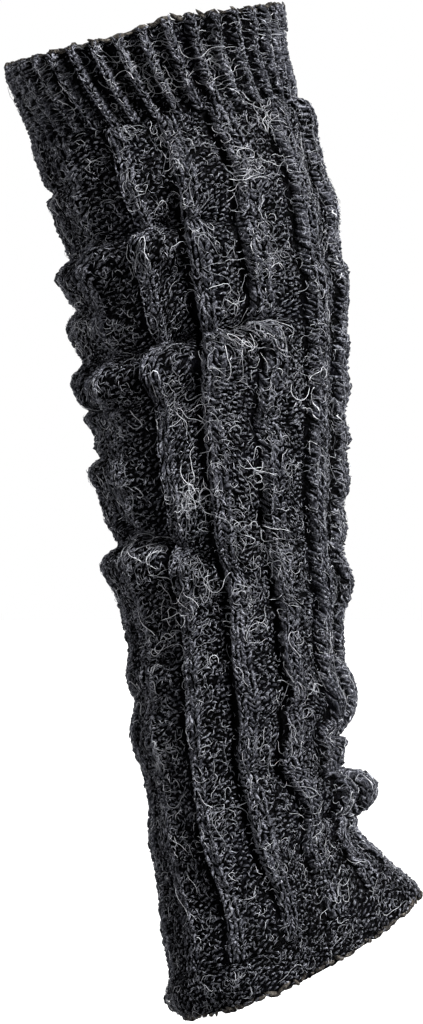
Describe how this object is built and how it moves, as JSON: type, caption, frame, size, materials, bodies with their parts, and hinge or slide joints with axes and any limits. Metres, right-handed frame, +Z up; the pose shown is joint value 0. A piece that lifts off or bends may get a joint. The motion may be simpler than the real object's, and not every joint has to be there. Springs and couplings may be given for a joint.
{
  "type": "leg warmer",
  "caption": "Footless ribbed wool leg warmer, filled out as a lower leg fills it, with slouch folds, a close-ribbed top cuff and a flat hem band.",
  "frame": {"origin": "on the leg's axis at the middle of the top cuff, where the calf holds the leg warmer up", "axes": "+Z up, +X the way the toes point, +Y to the far side; the leg leans 9.5 degrees, so its ankle end is towards +X"},
  "size_m": [0.1861, 0.1285, 0.4475],
  "materials": {
    "cuff_wool": "hairy wool, charcoal grey melange",
    "leg_wool": "hairy wool, charcoal grey melange",
    "hem_wool": "hairy wool, darker charcoal grey"
  },
  "bodies": {
    "root": {"top_cuff": "cuff_wool", "leg_tube": "leg_wool", "hem_band": "hem_wool"}
  },
  "joints": []
}
